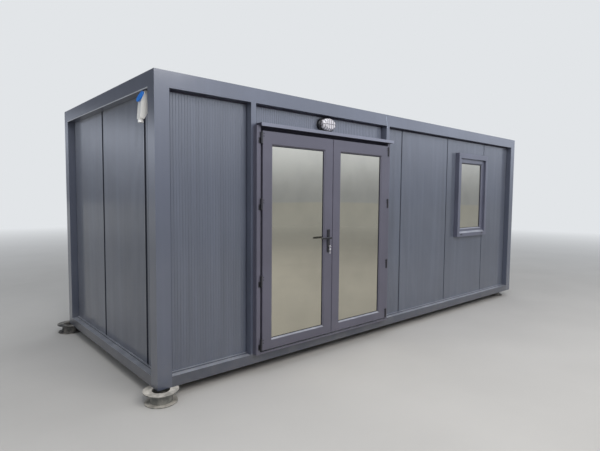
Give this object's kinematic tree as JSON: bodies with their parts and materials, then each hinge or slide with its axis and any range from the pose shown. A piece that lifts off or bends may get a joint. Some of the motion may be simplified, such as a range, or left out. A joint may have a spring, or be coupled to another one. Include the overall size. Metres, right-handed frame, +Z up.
{
  "type": "portable site cabin",
  "caption": "Flat-roofed portable cabin with a folded steel frame, ribbed sandwich panel walls, a glazed double door, a small window and spool feet.",
  "frame": {"origin": "middle of the footprint on the ground, under the spool feet", "axes": "+X along the long side, left to right seen from the door; +Y from the door side to the back; +Z up"},
  "size_m": [6.32, 2.682, 2.533],
  "materials": {
    "frame_paint": "satin anthracite grey paint",
    "panel_paint": "semi-gloss anthracite coating on ribbed sheet",
    "door_plastic": "anthracite moulded door profile",
    "glass": "mirror-like tinted glazing",
    "black_fittings": "black powder coat",
    "lamp_black": "black moulding",
    "lamp_lens": "pale ribbed lens",
    "inlet_white": "white moulding",
    "inlet_blue": "blue moulded cap",
    "spool_metal": "dusty weathered metal",
    "roof_metal": "profiled roof sheet",
    "floor_board": "floor board",
    "ceiling_white": "pale ceiling panel"
  },
  "bodies": {
    "root": {"bottom_rail_back": "frame_paint", "bottom_rail_front": "frame_paint", "bottom_rail_left": "frame_paint", "bottom_rail_right": "frame_paint", "ceiling_panel": "ceiling_white", "corner_post_back_left": "frame_paint", "corner_post_back_right": "frame_paint", "corner_post_front_left": "frame_paint", "corner_post_front_right": "frame_paint", "door_head": "door_plastic", "door_jamb_left": "door_plastic", "door_jamb_right": "door_plastic", "door_post_left": "frame_paint", "door_post_right": "frame_paint", "door_sill": "door_plastic", "drip_rail": "frame_paint", "floor_deck": "floor_board", "floor_joists": "frame_paint", "frame_hinges": "black_fittings", "inlet_body": "inlet_white", "inlet_cap": "inlet_blue", "lamp_base": "lamp_black", "lamp_lens": "lamp_lens", "roof_sheet": "roof_metal", "support_spools": "spool_metal", "top_rail_back": "frame_paint", "top_rail_front": "frame_paint", "top_rail_left": "frame_paint", "top_rail_right": "frame_paint", "wall_back_a": "panel_paint", "wall_back_b": "panel_paint", "wall_back_c": "panel_paint", "wall_back_d": "panel_paint", "wall_back_e": "panel_paint", "wall_back_f": "panel_paint", "wall_front_a": "panel_paint", "wall_front_b": "panel_paint", "wall_front_c": "panel_paint", "wall_front_d": "panel_paint", "wall_front_e": "panel_paint", "wall_left_a": "panel_paint", "wall_left_b": "panel_paint", "wall_left_c": "panel_paint", "wall_lintel": "panel_paint", "wall_right_a": "panel_paint", "wall_right_b": "panel_paint", "wall_right_c": "panel_paint", "window_frame": "door_plastic", "window_glass": "glass", "window_sash": "door_plastic"},
    "door_leaf_left": {"door_leaf_left": "door_plastic", "door_glass_left": "glass", "leaf_hinges_left": "black_fittings", "handle_plates": "black_fittings"},
    "door_leaf_right": {"door_leaf_right": "door_plastic", "door_glass_right": "glass", "leaf_hinges_right": "black_fittings"},
    "door_lever": {"lever_handle": "black_fittings"}
  },
  "joints": [
    {"name": "door_left_hinge", "type": "hinge", "parent": "root", "child": "door_leaf_left", "pos_m": [-2.09, -1.281, 1.2], "axis": [0, 0, -1], "range_deg": [0, 100]},
    {"name": "door_right_hinge", "type": "hinge", "parent": "root", "child": "door_leaf_right", "pos_m": [-0.324, -1.281, 1.2], "axis": [0, 0, 1], "range_deg": [0, 100]},
    {"name": "door_lever_turn", "type": "hinge", "parent": "door_leaf_left", "child": "door_lever", "pos_m": [-1.265, -1.281, 1.19], "axis": [0, -1, 0], "range_deg": [0, 45], "stiffness_Nm_per_rad": 1.5, "springref_deg": -17.19}
  ]
}
